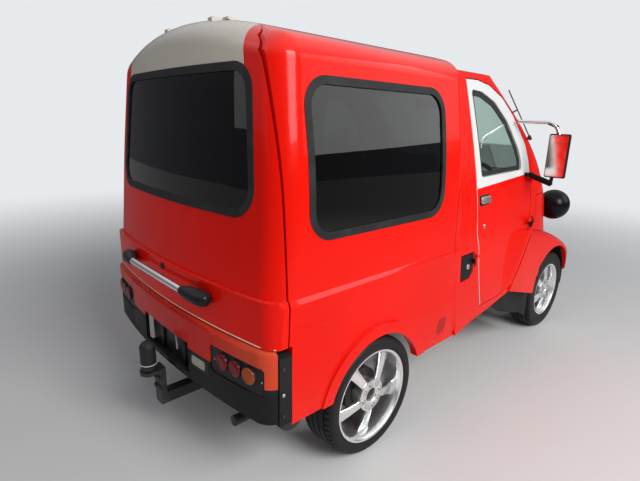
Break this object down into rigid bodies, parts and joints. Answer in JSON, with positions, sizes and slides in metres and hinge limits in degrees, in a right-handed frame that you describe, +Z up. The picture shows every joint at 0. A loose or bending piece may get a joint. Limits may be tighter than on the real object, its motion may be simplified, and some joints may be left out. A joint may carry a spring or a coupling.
{
  "type": "kei truck",
  "caption": "Micro cargo van of the kei truck class with a two-seat cab, ball headlamps, wing fenders, a closed load box, a lifting tailgate and a tow ball",
  "frame": {"origin": "on the ground under the middle of the bounding box", "axes": "the vehicle faces -Y, its right side is -X, +Z is up"},
  "size_m": [1.64, 2.957, 1.689],
  "materials": {
    "body_paint": "gloss solid red paint, lightly dusty",
    "gate_paint": "gloss solid red paint with a pale top panel",
    "door_paint": "gloss solid red paint with a white window frame",
    "seal_rubber": "matt black weathered rubber",
    "dark_glass": "dark tinted glass",
    "clear_glass": "greenish clear glass",
    "black_plastic": "textured black plastic",
    "faded_plastic": "faded red plastic",
    "lamp_lens": "red and amber lenses in a black housing",
    "black_steel": "black painted steel",
    "cover_rubber": "soft black rubber",
    "lamp_pod": "satin black lamp bowl",
    "lamp_glass": "clear fluted lens",
    "chassis_steel": "black chassis paint with road dust",
    "floor_steel": "painted pressed steel",
    "seat_fabric": "dark woven cloth",
    "dash_plastic": "grained dark plastic",
    "engine_iron": "cast iron, oily",
    "exhaust_steel": "heat-stained steel",
    "tank_plastic": "black moulded plastic",
    "spring_steel": "dark spring steel",
    "hub_iron": "cast iron with surface rust",
    "tyre": "black rubber",
    "front_alloy": "silver painted alloy",
    "rear_alloy": "machined and polished alloy",
    "spare_steel": "silver painted steel",
    "hinge_steel": "black painted steel",
    "mirror_black": "black plastic shell on chromed stays",
    "black_paint": "black lid with a chromed lock"
  },
  "bodies": {
    "body": {"cargo_shell": "body_paint", "side_seals": "seal_rubber", "side_glass": "dark_glass", "cab_shell": "body_paint", "nose_panel": "body_paint", "windscreen": "clear_glass", "windscreen_seal": "seal_rubber", "front_fenders": "body_paint", "wheel_liners": "black_plastic", "rear_bumper": "faded_plastic", "rear_valance": "black_plastic", "tail_lamps": "lamp_lens", "tow_hitch": "black_steel", "tow_ball_cover": "cover_rubber", "front_bumper": "faded_plastic", "headlamps": "lamp_pod", "headlamp_lenses": "lamp_glass", "ladder_frame": "chassis_steel", "load_floor": "floor_steel", "cab_floor": "floor_steel", "seats": "seat_fabric", "dashboard": "dash_plastic", "steering_column": "dash_plastic", "engine": "engine_iron", "exhaust": "exhaust_steel", "fuel_tank": "tank_plastic", "rear_axle": "chassis_steel", "leaf_springs": "spring_steel", "front_suspension": "chassis_steel", "spare_tyre": "tyre", "spare_rim": "spare_steel", "hinge_brackets": "hinge_steel", "roof_hinges": "hinge_steel", "fuel_filler": "tank_plastic", "aerial": "black_steel"},
    "door_right": {"door_right": "door_paint", "door_glass_right": "clear_glass", "mirror_right": "mirror_black"},
    "door_left": {"door_left": "door_paint", "door_glass_left": "clear_glass", "mirror_left": "mirror_black"},
    "tailgate": {"tailgate": "gate_paint", "tailgate_seal": "seal_rubber", "tailgate_glass": "dark_glass", "grab_bar": "black_steel"},
    "fuel_lid": {"fuel_lid": "black_paint"},
    "steering_wheel": {"steering_wheel": "dash_plastic"},
    "knuckle_right": {"knuckle_right": "hub_iron"},
    "knuckle_left": {"knuckle_left": "hub_iron"},
    "wheel_front_right": {"tyre_front_right": "tyre", "rim_front_right": "front_alloy"},
    "wheel_front_left": {"tyre_front_left": "tyre", "rim_front_left": "front_alloy"},
    "wheel_rear_right": {"tyre_rear_right": "tyre", "rim_rear_right": "rear_alloy"},
    "wheel_rear_left": {"tyre_rear_left": "tyre", "rim_rear_left": "rear_alloy"}
  },
  "joints": [
    {"name": "door_right_swing", "type": "hinge", "parent": "body", "child": "door_right", "pos_m": [-0.652, -0.548, 0.816], "axis": [0.1092, 0.078, 0.9909], "range_deg": [0, 65]},
    {"name": "door_left_swing", "type": "hinge", "parent": "body", "child": "door_left", "pos_m": [0.652, -0.548, 0.816], "axis": [-0.1092, 0.078, 0.9909], "range_deg": [-65, 0]},
    {"name": "tailgate_lift", "type": "hinge", "parent": "body", "child": "tailgate", "pos_m": [0, 1.148, 1.684], "axis": [1, 0, 0], "range_deg": [0, 85]},
    {"name": "fuel_lid_swing", "type": "hinge", "parent": "body", "child": "fuel_lid", "pos_m": [-0.65, 0.055, 0.7], "axis": [0, 0, 1], "range_deg": [0, 100]},
    {"name": "steer_right", "type": "hinge", "parent": "body", "child": "knuckle_right", "pos_m": [-0.432, -1.06, 0.264], "axis": [0, 0, 1], "range_deg": [-32, 32]},
    {"name": "steer_left", "type": "hinge", "parent": "body", "child": "knuckle_left", "pos_m": [0.432, -1.06, 0.264], "axis": [0, 0, 1], "range_deg": [-32, 32]},
    {"name": "steering_turn", "type": "hinge", "parent": "body", "child": "steering_wheel", "pos_m": [-0.245, -0.48, 0.985], "axis": [0, 0.7431, 0.6691], "range_deg": [-448, 448]},
    {"name": "wheel_front_right_spin", "type": "hinge", "parent": "knuckle_right", "child": "wheel_front_right", "pos_m": [-0.5485, -1.06, 0.264], "axis": [1, 0, 0], "continuous": true},
    {"name": "wheel_front_left_spin", "type": "hinge", "parent": "knuckle_left", "child": "wheel_front_left", "pos_m": [0.5485, -1.06, 0.264], "axis": [1, 0, 0], "continuous": true},
    {"name": "wheel_rear_right_spin", "type": "hinge", "parent": "body", "child": "wheel_rear_right", "pos_m": [-0.5575, 0.78, 0.256], "axis": [1, 0, 0], "continuous": true},
    {"name": "wheel_rear_left_spin", "type": "hinge", "parent": "body", "child": "wheel_rear_left", "pos_m": [0.5575, 0.78, 0.256], "axis": [1, 0, 0], "continuous": true}
  ],
  "couplings": [
    {"joint": "steer_left", "follows": "steer_right", "ratio": 1},
    {"joint": "steering_turn", "follows": "steer_right", "ratio": 14}
  ]
}
